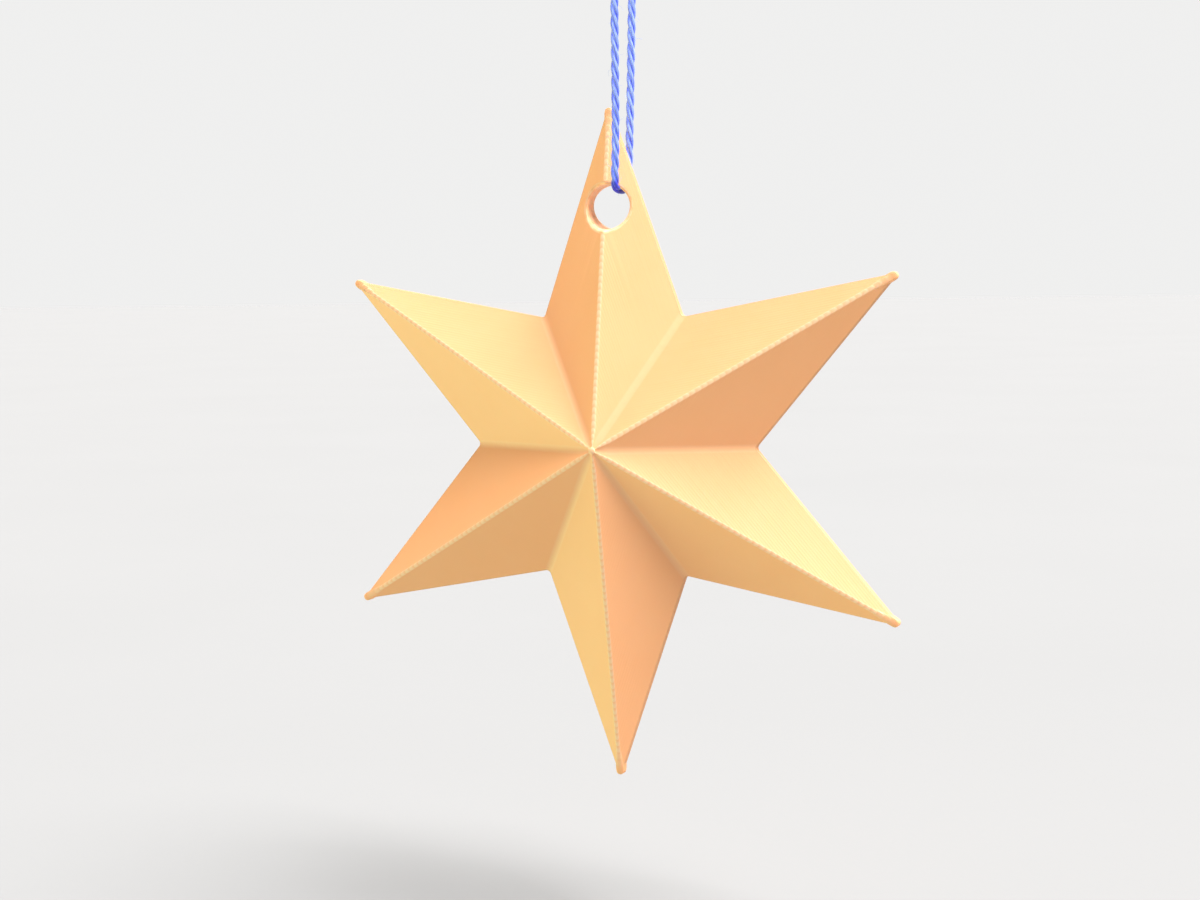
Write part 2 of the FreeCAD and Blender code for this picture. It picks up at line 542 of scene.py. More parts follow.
@dataclass(frozen=True)
class PliedTwine:
    """Glossy blue fibres, mottled mid and pale blue, with painted shade between the plies.

    A painted highlight pales the brightest fibre streaks. Where the twine lies in the hole, close to
    the star's middle plane and below the hole level, painted shade makes it deep blue all over.
    """

    # Mottled with the middle blue at random, and the painted highlight tone of the brightest streaks.
    crown: Colour = (0.430, 0.570, 1.000)
    middle: Colour = (0.180, 0.290, 0.950)
    # Painted shade tone: between the plies and where the twine lies in the hole.
    deep: Colour = (0.015, 0.030, 0.650)
    streak_width: float = 1.6
    streak_length: float = 260.0
    streak_scale: float = 2.2
    streak_detail: float = 4.0
    streak_roughness: float = 0.6
    dark_streak: float = 0.32
    pale_streak: float = 0.68
    least_bright: float = 0.35
    dull_streak: float = 0.45
    gleaming_streak: float = 0.75
    # Outness range over which the painted shade between the plies fades out.
    full_shade_outness: float = 0.45
    no_shade_outness: float = 0.98
    cloud_scale: float = 300.0
    cloud_contrast: float = 1.2
    roughness: float = 0.46
    roughness_spread: float = 0.25
    grain_scale: float = 3.0
    fibre_strength: float = 0.8
    fibre_height: float = 0.05 * MM
    fuzz: float = 0.35
    fuzz_roughness: float = 0.35
    fuzz_tint: Colour = (0.60, 0.70, 1.0)
    # Painted shade on the twine where it lies in the hole.
    hole_shade_from: float = 3.3 * MM
    hole_shade_to: float = 4.8 * MM
    hole_level: float = -50.0 * MM
    hole_shade_share: float = 0.9

    def material(self, effects: SharedEffects) -> bpy.types.Material:
        """Build the twine's material.

        Args:
            effects: The shared shader groups.

        Returns:
            The material.
        """
        material, nodes, shader = empty_material("plied_twine")
        place = nodes.add("ShaderNodeTexCoord").outputs["Object"]
        stretch = (self.streak_width, self.streak_width, self.streak_length)
        stretched = nodes.vector("MULTIPLY", carried(nodes, "fibre", "Vector"), stretch)
        streak = nodes.out(
            "ShaderNodeTexNoise", stretched, self.streak_scale, self.streak_detail,
            self.streak_roughness, noise_dimensions="3D",
        )
        # Painted shade, darker towards the twine's core between the plies; the streak is the fibres'
        # own tone.
        unshaded = nodes.remap(carried(nodes, "outness"), self.full_shade_outness, self.no_shade_outness)
        lit = nodes.remap(streak, self.dark_streak, self.pale_streak, self.least_bright, 1.0)
        streak_after_shade = nodes.math("MULTIPLY", unshaded, lit)
        dye = place_group(
            nodes, effects.mottle, Vector=place, Scale=self.cloud_scale,
            First=rgba(self.middle), Second=rgba(self.crown), Contrast=self.cloud_contrast,
        )
        colour = nodes.mix_colour(streak_after_shade, rgba(self.deep), dye.outputs["Color"])
        # Painted highlight: the brightest streaks turn pale blue.
        painted_glint = nodes.remap(streak, self.dull_streak, self.gleaming_streak)
        colour = nodes.mix_colour(nodes.math("MULTIPLY", streak_after_shade, painted_glint), colour, rgba(self.crown))
        # Painted shade: deep blue where the twine lies in the hole.
        spot = nodes.add("ShaderNodeSeparateXYZ", place)
        aside = nodes.math("ABSOLUTE", spot.outputs["Y"])
        between = nodes.remap(aside, self.hole_shade_from, self.hole_shade_to, self.hole_shade_share, 0.0)
        low = nodes.remap(spot.outputs["Z"], self.hole_level, self.hole_level - MM)
        colour = nodes.mix_colour(nodes.math("MULTIPLY", between, low), colour, rgba(self.deep))
        grain = place_group(
            nodes, effects.grain, Vector=stretched, Scale=self.grain_scale,
            Roughness=self.roughness, Roughness_Spread=self.roughness_spread,
        )
        nodes.feed_all(shader, {
            "Base Color": colour,
            "Roughness": grain.outputs["Roughness"],
            "Sheen Weight": self.fuzz,
            "Sheen Roughness": self.fuzz_roughness,
            "Sheen Tint": rgba(self.fuzz_tint),
        })
        add_relief(nodes, shader, streak, self.fibre_strength, self.fibre_height)
        return material


@dataclass(frozen=True)
class StudioPaper:
    """Pale matte paper for the studio floor."""

    first: Colour = (0.318, 0.316, 0.292)
    second: Colour = (0.332, 0.330, 0.305)
    cloud_scale: float = 6.0
    grain_scale: float = 900.0
    roughness: float = 0.85
    roughness_spread: float = 0.1

    def material(self, effects: SharedEffects) -> bpy.types.Material:
        """Build the paper's material.

        Args:
            effects: The shared shader groups.

        Returns:
            The material.
        """
        material, nodes, shader = empty_material("studio_paper")
        place = nodes.add("ShaderNodeTexCoord").outputs["Object"]
        cloud = place_group(
            nodes, effects.mottle, Vector=place, Scale=self.cloud_scale,
            First=rgba(self.first), Second=rgba(self.second),
        )
        grain = place_group(
            nodes, effects.grain, Vector=place, Scale=self.grain_scale,
            Roughness=self.roughness, Roughness_Spread=self.roughness_spread,
        )
        nodes.feed(shader.inputs["Base Color"], cloud.outputs["Color"])
        nodes.feed(shader.inputs["Roughness"], grain.outputs["Roughness"])
        return material


def piece_centre(node: str) -> Vector:
    """The middle of a CAD node's box."""
    low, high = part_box(node)
    return (low + high) / 2


@dataclass
class StudioCamera:
    """The photograph's camera: its turn and place are seen from the star's centre."""

    lens: float = 62.65
    sensor: float = 36.0
    yaw: float = -22.806
    pitch: float = 5.495
    roll: float = 1.134
    right: float = 2.709 * MM
    up: float = 0.783 * MM
    distance: float = 360.94 * MM
    nearest_seen: float = 0.01
    farthest_seen: float = 50.0

    def build(self, centre: Vector) -> bpy.types.Object:
        """Make the camera and set it as the scene's.

        Args:
            centre: The star's centre in the row frame.

        Returns:
            The camera object.
        """
        data = bpy.data.cameras.new("camera")
        data.lens = self.lens
        data.sensor_width = self.sensor
        data.sensor_fit = "HORIZONTAL"
        data.clip_start = self.nearest_seen
        data.clip_end = self.farthest_seen
        stand_up = Matrix.Rotation(math.radians(90), 3, "X")
        turn = (
            stand_up
            @ Matrix.Rotation(math.radians(-self.roll), 3, "Z")
            @ Matrix.Rotation(math.radians(-self.yaw), 3, "Y")
            @ Matrix.Rotation(math.radians(-self.pitch), 3, "X")
        )
        place = centre + turn @ Vector((-self.right, -self.up, self.distance))
        camera = add_object("camera", data)
        camera.matrix_world = Matrix.Translation(place) @ turn.to_4x4()
        bpy.context.scene.camera = camera
        return camera


def read_route(name: str, points: list[Vector]) -> list[Vector]:
    """Lay one open NURBS curve on control points and read the points along it.

    Args:
        name: A name for the curve while it exists.
        points: The control points, in metres.

    Returns:
        The points that the curve runs through, from its start to its end.
    """
    data = bpy.data.curves.new(name, "CURVE")
    data.dimensions = "3D"
    data.resolution_u = ROUTE_STEPS
    spline = data.splines.new("NURBS")
    spline.points.add(len(points) - 1)
    for control, point in zip(spline.points, points):
        control.co = (*point, 1.0)
    spline.order_u = 3
    spline.use_endpoint_u = True
    curve = add_object(name, data)
    graph = bpy.context.evaluated_depsgraph_get()
    line = bpy.data.meshes.new_from_object(curve.evaluated_get(graph), depsgraph=graph)
    found = [vertex.co.copy() for vertex in line.vertices]
    bpy.data.meshes.remove(line)
    bpy.data.objects.remove(curve)
    bpy.data.curves.remove(data)
    return found


def route_length(points: list[Vector]) -> float:
    """Length of a row of points."""
    return sum((b - a).length for a, b in zip(points, points[1:]))


@dataclass
class TwineMaker:
    """Plied twine along any route, with stray hairs."""

    radius: float = 0.71 * MM
    plies: int = 3
    ply_radius: float = 0.385 * MM
    lay_length: float = 7.4 * MM
    twist: Twist = Twist.S
    step: float = 0.22 * MM
    ply_sides: int = 12
    fibre_turn: float = 1.3
    uneven: float = 0.035 * MM
    hair_density: float = 0.16e6
    hair_length: float = 1.7 * MM
    hair_radius: float = 0.014 * MM
    hair_middle: Place = (0.15, 0.0, 0.45)
    hair_tip: Place = (0.85, 0.0, 0.40)
    hair_steps: int = 7
    hair_sides: int = 3
    least_hair: float = 0.35
    most_hair: float = 1.15
    hair_size_seed: int = 7
    lump_scale: float = 1400.0
    fray_run: float = 1.8 * MM
    tuft: float = 45.0

    def sizes(self, seed: int, fray: float) -> dict[str, Value]:
        """The named inputs of the twine's tree.

        Args:
            seed: Seed of the hairs.
            fray: How far the plies part at each route's end.

        Returns:
            What each named input gets.
        """
        return {
            "Twine Radius": self.radius,
            "Plies": self.plies,
            "Ply Radius": self.ply_radius,
            "Lay Length": self.lay_length,
            "Step": self.step,
            "Ply Sides": self.ply_sides,
            "Fibre Turn": self.fibre_turn,
            "Uneven": self.uneven,
            "Hair Density": self.hair_density,
            "Hair Length": self.hair_length,
            "Hair Radius": self.hair_radius,
            "Fray": fray,
            "Fray Run": self.fray_run,
            "Seed": seed,
        }

    def ply_rings(self, grown: GrownMesh) -> bpy.types.NodeSocket:
        """Build the twine's cross-section: one ring for each ply, set round the middle.

        Args:
            grown: The mesh that is grown, with its tree.

        Returns:
            The rings, as curves.
        """
        nodes = grown.nodes
        reach = nodes.math("SUBTRACT", grown.input("Twine Radius"), grown.input("Ply Radius"))
        spots = nodes.out("GeometryNodeMeshCircle", grown.input("Plies"), reach)
        sides = grown.input("Ply Sides")
        ring = nodes.out("GeometryNodeCurvePrimitiveCircle", sides, grown.input("Ply Radius"))
        share = nodes.math("DIVIDE", nodes.out("GeometryNodeInputIndex"), sides)
        around = nodes.math("MULTIPLY", share, 2 * math.pi)
        ring = nodes.store(ring, "around", around)
        placed = nodes.out("GeometryNodeInstanceOnPoints", spots, None, ring)
        rings = nodes.out("GeometryNodeRealizeInstances", placed)
        away = nodes.vector("LENGTH", nodes.out("GeometryNodeInputPosition"))
        outness = nodes.math("DIVIDE", away, grown.input("Twine Radius"))
        return nodes.store(rings, "outness", outness)

    def hairs(self, grown: GrownMesh, strands: bpy.types.NodeSocket) -> bpy.types.NodeSocket:
        """Scatter short bent hairs over the strands.

        Args:
            grown: The mesh that is grown, with its tree.
            strands: The plies that the hairs stand on.

        Returns:
            The hairs, as a mesh.
        """
        nodes = grown.nodes
        length, seed = grown.input("Hair Length"), grown.input("Seed")
        middle = nodes.scaled(self.hair_middle, length)
        tip = nodes.scaled(self.hair_tip, length)
        root = (0.0, 0.0, 0.0)
        bend = nodes.out("GeometryNodeCurveQuadraticBezier", self.hair_steps, root, middle, tip)
        thin = grown.input("Hair Radius")
        section = nodes.out("GeometryNodeCurvePrimitiveCircle", self.hair_sides, thin)
        hair = nodes.store(nodes.out("GeometryNodeCurveToMesh", bend, section), "outness", 1.0)
        thicker = nodes.math("MULTIPLY_ADD", nodes.named("loose"), self.tuft, 1.0)
        density = nodes.math("MULTIPLY", grown.input("Hair Density"), thicker)
        spread = nodes.add("GeometryNodeDistributePointsOnFaces", strands, None, density, seed)
        upright = nodes.add("FunctionNodeAlignRotationToVector", axis="Z")
        nodes.feed(upright.inputs["Vector"], spread.outputs["Normal"])
        spin = nodes.random(0.0, 2 * math.pi, seed)
        turn = nodes.out("FunctionNodeAxisAngleToRotation", (0.0, 0.0, 1.0), spin)
        turned = nodes.add("FunctionNodeRotateRotation", rotation_space="LOCAL")
        nodes.feed_all(turned, {0: upright.outputs[0], 1: turn})
        size = nodes.random(self.least_hair, self.most_hair, self.hair_size_seed)
        placed = nodes.add("GeometryNodeInstanceOnPoints", spread.outputs["Points"], None, hair)
        nodes.feed_all(placed, {"Rotation": turned.outputs[0], "Scale": size})
        return nodes.out("GeometryNodeRealizeInstances", placed.outputs[0])

    @staticmethod
    def line_mesh(name: str, routes: list[list[Vector]]) -> bpy.types.Mesh:
        """Join the points of each route by edges, in one mesh.

        Args:
            name: The piece's name.
            routes: The rows of points.

        Returns:
            A mesh of loose edges.
        """
        edges = []
        start = 0
        for route in routes:
            edges += [(start + i, start + i + 1) for i in range(len(route) - 1)]
            start += len(route)
        line = bpy.data.meshes.new(name + "_line")
        line.from_pydata([point for route in routes for point in route], edges, [])
        return line

    def spine(self, grown: GrownMesh) -> bpy.types.NodeSocket:
        """Build the centre lines, with what each of their points hands on to the plies.

        Args:
            grown: The mesh that is grown, with its tree.

        Returns:
            The centre lines, as curves turned by the twine's twist.
        """
        nodes = grown.nodes
        curve = nodes.out("GeometryNodeMeshToCurve", grown.input("Geometry"))
        curve = nodes.out("GeometryNodeResampleCurve", curve, None, grown.input("Step"), mode="LENGTH")
        along = nodes.add("GeometryNodeSplineParameter").outputs["Length"]
        left = nodes.math("SUBTRACT", nodes.out("GeometryNodeSplineLength"), along)
        near_end = nodes.math("SUBTRACT", 1.0, nodes.math("DIVIDE", left, grown.input("Fray Run")))
        loose = nodes.math("MULTIPLY", nodes.math("MAXIMUM", near_end, 0.0), grown.input("Fray"))
        turns = nodes.math("DIVIDE", along, grown.input("Lay Length"))
        tilt = nodes.math("MULTIPLY", turns, self.twist.value * 2 * math.pi)
        curve = nodes.store(curve, "along", along)
        curve = nodes.store(curve, "turned", tilt)
        curve = nodes.store(curve, "loose", loose)
        curve = nodes.store(curve, "middle", nodes.out("GeometryNodeInputPosition"), "FLOAT_VECTOR")
        return nodes.out("GeometryNodeSetCurveTilt", curve, None, tilt)

    def build(
        self,
        name: str,
        routes: list[list[Vector]],
        material: bpy.types.Material,
        seed: int,
        fray: float = 0.0,
    ) -> bpy.types.Object:
        """Lay twine along routes.

        Args:
            name: The piece's name.
            routes: The rows of points that the twine follows.
            material: The twine's material.
            seed: Seed of the hairs.
            fray: How far the plies part at each route's end, as a share of their reach.

        Returns:
            The finished piece.
        """
        grown = GrownMesh(name, self.line_mesh(name, routes), self.sizes(seed, fray))
        nodes = grown.nodes
        strands = nodes.add("GeometryNodeCurveToMesh", self.spine(grown), self.ply_rings(grown))
        nodes.feed(strands.inputs["Fill Caps"], True)
        strands = strands.outputs[0]
        turned = nodes.math("MULTIPLY", nodes.named("turned"), grown.input("Fibre Turn"))
        slant = nodes.math("ADD", turned, nodes.named("around"))
        round_ply = (nodes.math("COSINE", slant), nodes.math("SINE", slant))
        fibre = nodes.out("ShaderNodeCombineXYZ", *round_ply, nodes.named("along"))
        strands = nodes.store(strands, "fibre", fibre, "FLOAT_VECTOR")
        place = nodes.out("GeometryNodeInputPosition")
        lumps = nodes.out(
            "ShaderNodeTexNoise", place, self.lump_scale, 2.0, 0.5, noise_dimensions="3D"
        )
        both_ways = nodes.math("MULTIPLY_ADD", lumps, 2.0, -1.0)
        push = nodes.math("MULTIPLY", both_ways, grown.input("Uneven"))
        swell = nodes.scaled(nodes.out("GeometryNodeInputNormal"), push)
        reach = nodes.vector("SUBTRACT", place, nodes.named("middle", "FLOAT_VECTOR"))
        parted = nodes.vector("ADD", swell, nodes.scaled(reach, nodes.named("loose")))
        strands = nodes.out("GeometryNodeSetPosition", strands, None, None, parted)
        whole = nodes.add("GeometryNodeJoinGeometry")
        nodes.tree.links.new(self.hairs(grown, strands), whole.inputs[0])
        nodes.tree.links.new(strands, whole.inputs[0])
        piece = grown.finish(whole.outputs[0], material)
        piece.data.shade_smooth()
        return piece


@dataclass
class HangingTwine:
    """The loop of twine: down the back from the knot, through the hole, up the front and over."""

    maker: TwineMaker
    length: float = 112.0 * MM
    route: list[Place] = field(
        default_factory=lambda: [
            (-0.0004055, 0.0044450, -0.0146),
            (-0.0009703, 0.0034060, -0.0434606),
            (-0.0012500, 0.0030000, -0.0510000),
            (-0.0016000, 0.0017500, -0.0520500),
            (-0.0017000, -0.0012000, -0.0519500),
            (-0.0013000, -0.0030500, -0.0507000),
            (-0.0007703, -0.0033560, -0.0434606),
            (-0.0000145, -0.0046365, -0.0092817),
            (0.0, -0.0049958, 0.0007),
            (0.0, 0.0049958, 0.0007),
            (-0.0002571, 0.0046466, -0.0090),
        ]
    )

    def build(self, material: bpy.types.Material) -> tuple[bpy.types.Object, list[Vector]]:
        """Lay the twine along its route.

        Args:
            material: The twine's material.

        Returns:
            The piece and the points of its centre line.
        """
        line = read_route("twine_route", [Vector(point) for point in self.route])
        piece = self.maker.build("twine_strands", [line], material, seed=11)
        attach(piece, BODY)
        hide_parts("hanging_twine")
        piece.visible_shadow = False
        faces = len(piece.data.polygons)
        LOG.info("%s: %.2f mm long, %d faces", piece.name, route_length(line) / MM, faces)
        return piece, line


@dataclass
class TwineKnot:
    """A square knot that joins the two ends of the loop, with two free tails.

    The knot's own frame is counted in twine diameters: u up along the strand, v to the right
    and w to the back.
    """

    maker: TwineMaker
    lower: Place = (-0.0004055, 0.0044450, -0.0146)
    upper: Place = (-0.0002571, 0.0046466, -0.0090)
    tail_end: Place = (-3.9, -5.4, -0.2)
    fray: float = 0.7
    bight: list[Place] = field(
        default_factory=lambda: [
            (-2.0, 0.0, 0.0),
            (-1.75, 0.25, 0.2),
            (-1.0, 0.62, 0.62),
            (-0.25, 0.95, -0.5),
            (0.3, 1.2, -0.5),
            (0.95, 1.1, 0.45),
            (1.35, 0.35, 0.7),
            (1.35, -0.35, 0.7),
            (0.95, -1.1, 0.45),
            (0.3, -1.2, -0.5),
            (-0.25, -0.95, -0.5),
            (-1.0, -0.62, 0.62),
            (-1.75, -0.8, 0.3),
            (-2.4, -1.7, 0.0),
            (-3.1, -3.4, -0.25),
        ]
    )

    def place(self) -> Matrix:
        """The matrix from the knot's own frame to the row frame.

        Returns:
            The matrix.
        """
        low, high = Vector(self.lower), Vector(self.upper)
        along = (high - low).normalized()
        across = Vector((1.0, 0.0, 0.0))
        across = (across - across.dot(along) * along).normalized()
        behind = along.cross(across)
        axes = Matrix((along, across, behind)).transposed().to_4x4()
        return Matrix.Translation((low + high) / 2) @ axes @ Matrix.Scale(2 * self.maker.radius, 4)

    def build(self, material: bpy.types.Material) -> bpy.types.Object:
        """Tie the knot from two bights, the second the first one turned end for end.

        Args:
            material: The twine's material.

        Returns:
            The knot.
        """
        place = self.place()
        first = [Vector(point) for point in (*self.bight, self.tail_end)]
        second = [-point for point in first]
        routes = [
            read_route("bight", [place @ point for point in points]) for points in (first, second)
        ]
        piece = self.maker.build("square_knot", routes, material, seed=23, fray=self.fray)
        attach(piece, BODY)
        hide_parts("twine_knot")
        LOG.info("%s: %d faces", piece.name, len(piece.data.polygons))
        return piece


@dataclass
class PrintedStar:
    """The star as it is printed: layer on layer, from the rim band up to a small blunt crown.

    Each layer has three rings. `climbs` says how far the second and the third stand above the
    one before, and `bulges` how far they keep back from the face's slope, both in layers.
    """

    arms: int = 6
    tip_radius: float = 58.0 * MM
    notch_radius: float = 25.5 * MM
    layer_height: float = 0.2 * MM
    face_layers: int = 50
    rim_layers: int = 3
    tip_round: float = 0.35 * MM
    notch_round: float = 0.8 * MM
    finger_radius: float = 0.70 * MM
    finger_inset: float = 0.95 * MM
    finger_fade: float = 3.0
    flank: float = 0.35 * MM
    tip_steps: int = 8
    notch_steps: int = 4
    climbs: tuple[float, float] = (0.43, 0.31)
    bulges: tuple[float, float] = (-0.23, 0.04)
    crown_share: float = 0.075
    rim_groove: float = 0.045 * MM
    wobble: float = 0.006 * MM
    wobble_seed: int = 5
    facet_step: float = 0.06
    hole_radius: float = 3.85 * MM
    hole_height: float = 40.9 * MM
    hole_lip: float = 0.65 * MM
    back_lip: float = 0.3 * MM
    hole_sides: int = 96
    wall_rings: int = 4
    lip_rings: int = 6
    button_radius: float = 0.6 * MM
    button_height: float = 0.22 * MM
    button_highlight_share: float = 0.8
    sharp_from: float = 38.0

    def sharp_corner(self, index: int) -> Vector:
        """A sharp corner of the outline in the star's plane: tips are even, notches odd.

        Args:
            index: The corner's number, clockwise from the top.

        Returns:
            The corner, from the star's centre.
        """
        angle = math.radians(90.0 - index * 180.0 / self.arms)
        reach = self.notch_radius if index % 2 else self.tip_radius
        return Vector((reach * math.cos(angle), reach * math.sin(angle), 0.0))

    def edge_ways(self, index: int) -> list[Vector]:
        """Directions from a sharp corner back to the one before it and on to the next.

        Args:
            index: The corner's number.

        Returns:
            The two directions.
        """
        corner = self.sharp_corner(index)
        beside = [self.sharp_corner((index + step) % (2 * self.arms)) for step in (-1, 1)]
        return [(other - corner).normalized() for other in beside]

    def corner_round(self, index: int, radius: float, steps: int) -> list[tuple[Vector, Vector]]:
        """Points and outward directions of the arc that rounds a corner.

        Args:
            index: The corner's number.
            radius: The arc's radius.
            steps: How many chords the arc has.

        Returns:
            Pairs of a point, measured from the sharp corner, and its outward direction, with
            one more point on the straight edge at each end.
        """
        back, forth = self.edge_ways(index)
        half = back.angle(forth) / 2
        centre = (back + forth).normalized() * (radius / math.sin(half))
        first = back * (radius / math.tan(half)) - centre
        last = forth * (radius / math.tan(half)) - centre
        sweep = first.angle(last)
        axis = first.cross(last).normalized()
        sign = -1.0 if index % 2 else 1.0
        found = []
        for step in range(steps + 1):
            spoke = Matrix.Rotation(sweep * step / steps, 3, axis) @ first
            found.append((centre + spoke, sign * spoke.normalized()))
        (start, start_way), (end, end_way) = found[0], found[-1]
        before = (start + back * self.flank, start_way)
        after = (end + forth * self.flank, end_way)
        return [before, *found, after]

    def tip_finger(self, index: int) -> list[Vector]:
        """Points of the blunt finger that ends an arm, measured from the sharp corner.

        Args:
            index: The corner's number.

        Returns:
            As many points as the tip's rounding has.
        """
        back, forth = self.edge_ways(index)
        inward = (back + forth).normalized()
        aside = (back - forth).normalized()
        root = self.finger_radius / math.sin(back.angle(forth) / 2)
        found = []
        steps = self.tip_steps - 2
        for step in range(steps + 1):
            turn = math.pi * (step / steps - 0.5)
            spoke = -math.cos(turn) * inward - math.sin(turn) * aside
            found.append(self.finger_inset * inward + self.finger_radius * spoke)
        beyond = root + self.flank
        return [back * beyond, back * root, *found, forth * root, forth * beyond]

    def outline_mesh(self) -> bpy.types.Mesh:
        """The outline's points, each with its sharp corner, roundings and outward direction.

        Returns:
            A mesh of loose points that carry these as attributes.
        """
        corners, offsets, fingers, outward, ridge, valley = [], [], [], [], [], []
        for index in range(2 * self.arms):
            kind = Corner.NOTCH if index % 2 else Corner.TIP
            radius = self.notch_round if kind is Corner.NOTCH else self.tip_round
            steps = self.notch_steps if kind is Corner.NOTCH else self.tip_steps
            arc = self.corner_round(index, radius, steps)
            finger = self.tip_finger(index) if kind is Corner.TIP else [point for point, _ in arc]
            corners += [self.sharp_corner(index)] * len(arc)
            offsets += [point for point, _ in arc]
            outward += [direction for _, direction in arc]
            fingers += finger
            peak = float(kind is Corner.TIP)
            ridge += [0.0, *[peak] * (len(arc) - 2), 0.0]
            valley += [0.0, *[1.0 - peak] * (len(arc) - 2), 0.0]
        mesh = bpy.data.meshes.new("star_outline")
        mesh.from_pydata([corner + offset for corner, offset in zip(corners, offsets)], [], [])
        rows = {"corner": corners, "offset": offsets, "finger": fingers, "outward": outward}
        for name, vectors in rows.items():
            attribute = mesh.attributes.new(name, "FLOAT_VECTOR", "POINT")
            attribute.data.foreach_set("vector", [number for vector in vectors for number in vector])
        for name, numbers in {"on_ridge": ridge, "in_valley": valley}.items():
            attribute = mesh.attributes.new(name, "FLOAT", "POINT")
            attribute.data.foreach_set("value", numbers)
        return mesh

    def ridge_height(self) -> float:
        """Height of a face from the rim plane to its middle."""
        return self.face_layers * self.layer_height

    def fall_along(self) -> float:
        """How much a face falls for each unit along a ridge."""
        return self.ridge_height() / self.tip_radius

    def fall_across(self) -> float:
        """How much a face falls for each unit straight away from a ridge.

        Returns:
            The slope.
        """
        step = math.pi / self.arms
        rest = 1 - self.notch_radius * math.cos(step) / self.tip_radius
        return self.ridge_height() * rest / (self.notch_radius * math.sin(step))

    def sizes(self, around: int, centre: Vector) -> dict[str, Value]:
        """The named inputs of the star's tree.

        Args:
            around: How many points the outline has.
            centre: The star's centre in the row frame.

        Returns:
            What each named input gets.
        """
        return {
            "Outline Points": around,
            "Layer Height": self.layer_height,
            "Face Layers": self.face_layers,
            "Rim Layers": self.rim_layers,
            "Crown Share": self.crown_share,
            "Finger Fade": self.finger_fade,
            "Rim Groove": self.rim_groove,
            "Wobble": self.wobble,
            "Hole Radius": self.hole_radius,
            "Hole Height": self.hole_height,
            "Hole Lip": self.hole_lip,
            "Back Lip": self.back_lip,
            "Fall Along": self.fall_along(),
            "Fall Across": self.fall_across(),
            "Button Radius": self.button_radius,
            "Button Height": self.button_height,
            "Centre": tuple(centre),
        }

    @staticmethod
    def sampled(
        grown: GrownMesh, name: str, turn: bpy.types.NodeSocket, kind: str = "FLOAT_VECTOR"
    ) -> bpy.types.NodeSocket:
        """Read an attribute of the outline's point at a turn.

        Args:
            grown: The mesh that is grown, with its tree.
            name: The attribute's name.
            turn: The point's number in the outline.
            kind: The attribute's data type.

        Returns:
            The attribute's value.
        """
        nodes = grown.nodes
        values = nodes.named(name, kind)
        outline = grown.input("Geometry")
        return nodes.out("GeometryNodeSampleIndex", outline, values, turn, data_type=kind)

    @staticmethod
    def ring_grid(
        nodes: NodeTree, rings: Value, around: Value
    ) -> tuple[bpy.types.NodeSocket, bpy.types.NodeSocket, bpy.types.NodeSocket]:
        """Lay out a flat grid that is later bent into closed rings.

        Args:
            nodes: The tree under construction.
            rings: How many rings lie on each side of the middle one.
            around: How many points a ring has.

        Returns:
            The grid, each point's ring from the middle one, and its place in the ring.
        """
        across = nodes.math("MULTIPLY", rings, 2.0)
        counts = (nodes.math("ADD", across, 1.0), nodes.math("ADD", around, 1.0))
        grid = nodes.out("GeometryNodeMeshGrid", across, around, *counts)
        spot = nodes.add("ShaderNodeSeparateXYZ", nodes.out("GeometryNodeInputPosition"))
        ring = nodes.math("ROUND", spot.outputs["X"])
        place = nodes.math("ROUND", nodes.math("MULTIPLY_ADD", around, 0.5, spot.outputs["Y"]))
        return grid, ring, nodes.math("FLOORED_MODULO", place, around)

    def layers(self, grown: GrownMesh) -> bpy.types.NodeSocket:
        """Build the printed body: three rings a layer, each layer a rounded step.

        Args:
            grown: The mesh that is grown, with its tree.

        Returns:
            The closed body, with its masks for the plastic.
        """
        nodes = grown.nodes
        steps = 1.0 + len(self.climbs)
        side_layers = nodes.math("ADD", grown.input("Face Layers"), grown.input("Rim Layers"))
        rings = nodes.math("MULTIPLY", side_layers, steps)
        grid, ring, turn = self.ring_grid(nodes, rings, grown.input("Outline Points"))
        side = nodes.math("SIGN", ring)
        level = nodes.math("ABSOLUTE", ring)
        layer = nodes.math("FLOOR", nodes.math("DIVIDE", nodes.math("ADD", level, 0.5), steps))
        phase = nodes.math("SUBTRACT", level, nodes.math("MULTIPLY", layer, steps))
        risen = nodes.math("GREATER_THAN", phase, 0.5)
        shoulder = nodes.math("GREATER_THAN", phase, 1.5)
        climb, bulge = (
            nodes.math("MULTIPLY_ADD", risen, second, nodes.math("MULTIPLY", shoulder, third))
            for second, third in (self.climbs, self.bulges)
        )
        depth = nodes.math("MULTIPLY", nodes.math("ADD", layer, climb), grown.input("Layer Height"))
        on_ridge = self.sampled(grown, "on_ridge", turn, "FLOAT")
        stepped = nodes.math("MULTIPLY_ADD", on_ridge, 1 - self.facet_step, self.facet_step)
        retreat = nodes.math("MULTIPLY_ADD", bulge, stepped, climb)
        last_rim = nodes.math("SUBTRACT", grown.input("Rim Layers"), 0.5)
        on_rim = nodes.math("LESS_THAN", layer, last_rim)
        on_face = nodes.math("SUBTRACT", 1.0, on_rim)
        above_rim = nodes.math("SUBTRACT", layer, grown.input("Rim Layers"))
        face_layer = nodes.math("MAXIMUM", above_rim, 0.0)
        inward = nodes.math("MULTIPLY_ADD", retreat, on_face, face_layer)
        gone = nodes.math("DIVIDE", inward, grown.input("Face Layers"))
        share = nodes.math("SUBTRACT", 1.0, gone)
        held = nodes.math("DIVIDE", share, grown.input("Crown Share"))
        held = nodes.math("MINIMUM", held, 1.0)
        # The 500 keeps the numbers of the front layers, which count down, above zero.
        number = nodes.math("MULTIPLY_ADD", layer, side, 500.0)
        drift = nodes.random(-1.0, 1.0, self.wobble_seed, number)
        groove = nodes.math("SUBTRACT", 1.0, risen)
        grooved = nodes.math("MULTIPLY", groove, on_rim)
        inset = nodes.math("MULTIPLY", grooved, grown.input("Rim Groove"))
        inset = nodes.math("MULTIPLY_ADD", drift, grown.input("Wobble"), inset)

